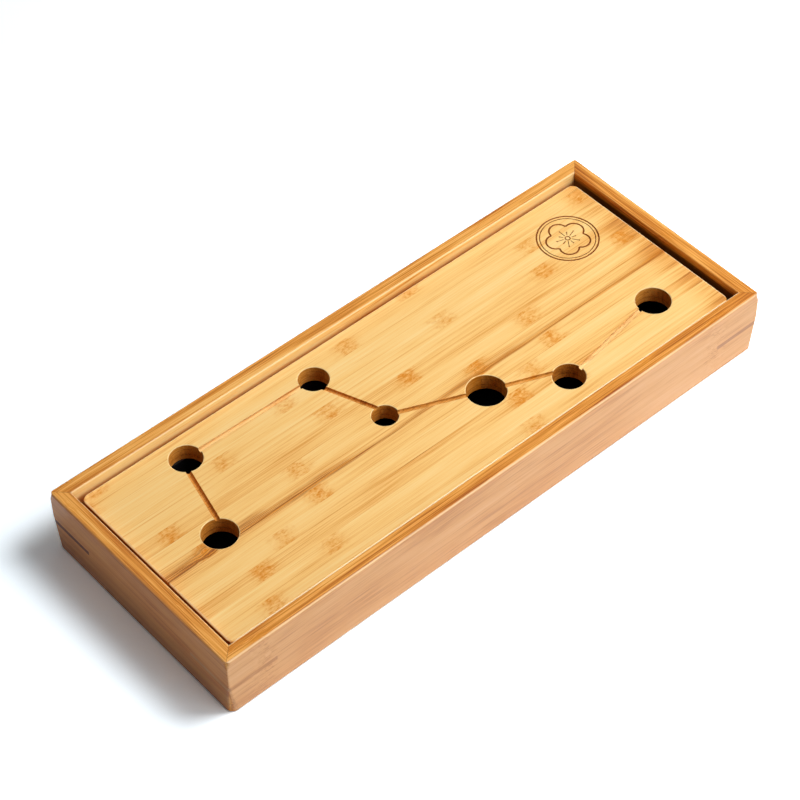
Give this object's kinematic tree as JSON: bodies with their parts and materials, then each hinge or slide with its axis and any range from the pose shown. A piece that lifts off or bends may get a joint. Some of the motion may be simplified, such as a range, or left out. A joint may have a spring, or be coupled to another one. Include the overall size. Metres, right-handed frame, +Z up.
{
  "type": "gongfu tea table",
  "caption": "Small bamboo gongfu tea table: mitred frame with corner keys, a loose board with star-pattern drain holes and gutters, and a lift-out black water tray.",
  "frame": {"origin": "on the ground under the middle of the table", "axes": "+X along the length towards the handle of the dipper, +Y across towards the back, +Z up"},
  "size_m": [0.4, 0.156, 0.0458],
  "materials": {
    "rail_bamboo": "satin lacquered carbonised bamboo",
    "board_bamboo": "satin lacquered bamboo strips",
    "key_wood": "dark lacquered hardwood",
    "panel_bamboo": "plain bamboo sheet",
    "batten_bamboo": "plain planed bamboo",
    "tray_plastic": "black moulded plastic",
    "pad_rubber": "matt",
    "screw_steel": "zinc plated"
  },
  "bodies": {
    "frame": {"front_rail": "rail_bamboo", "back_rail": "rail_bamboo", "left_rail": "rail_bamboo", "right_rail": "rail_bamboo", "front_left_key": "key_wood", "front_right_key": "key_wood", "back_right_key": "key_wood", "back_left_key": "key_wood", "floor_panel": "panel_bamboo", "front_left_pad": "pad_rubber", "back_left_pad": "pad_rubber", "front_right_pad": "pad_rubber", "back_right_pad": "pad_rubber"},
    "board": {"tea_board": "board_bamboo", "left_batten": "batten_bamboo", "right_batten": "batten_bamboo", "batten_screws": "screw_steel"},
    "tray": {"water_tray": "tray_plastic"}
  },
  "joints": [
    {"name": "board_lift", "type": "slide", "parent": "frame", "child": "board", "axis": [0, 0, 1], "range_m": [0, 0.1]},
    {"name": "tray_lift", "type": "slide", "parent": "frame", "child": "tray", "axis": [0, 0, 1], "range_m": [0, 0.05]}
  ],
  "couplings": [
    {"joint": "tray_lift", "follows": "board_lift", "ratio": 0.5}
  ]
}
